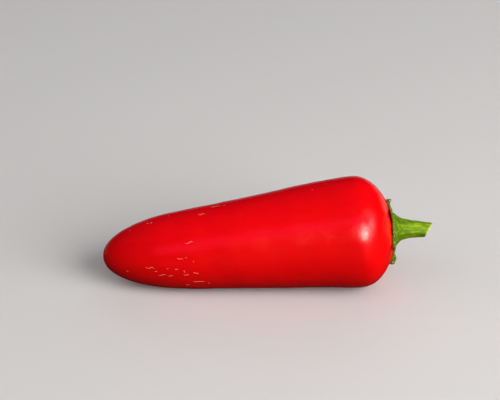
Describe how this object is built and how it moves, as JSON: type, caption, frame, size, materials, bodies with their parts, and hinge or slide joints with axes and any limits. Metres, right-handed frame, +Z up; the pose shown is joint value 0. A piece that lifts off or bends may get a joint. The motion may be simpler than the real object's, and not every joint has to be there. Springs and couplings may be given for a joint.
{
  "type": "chilli pepper",
  "caption": "Ripe red chilli pepper of the short, blunt kind, lying on its side, with its green calyx and a short cut stem.",
  "frame": {"origin": "middle of the bounding box, at the height of the surface that the pod lies on", "axes": "+X along the pod from its tip to its cut stem, +Z up from the resting surface, -Y the side that the picture shows"},
  "size_m": [0.0888, 0.0302, 0.03],
  "materials": {
    "pod_skin": "smooth waxy red skin with fine tan corking scars",
    "stem_green": "fibrous green calyx and stem with a paler cut face"
  },
  "bodies": {
    "root": {"pod": "pod_skin", "calyx_and_stem": "stem_green"}
  },
  "joints": []
}
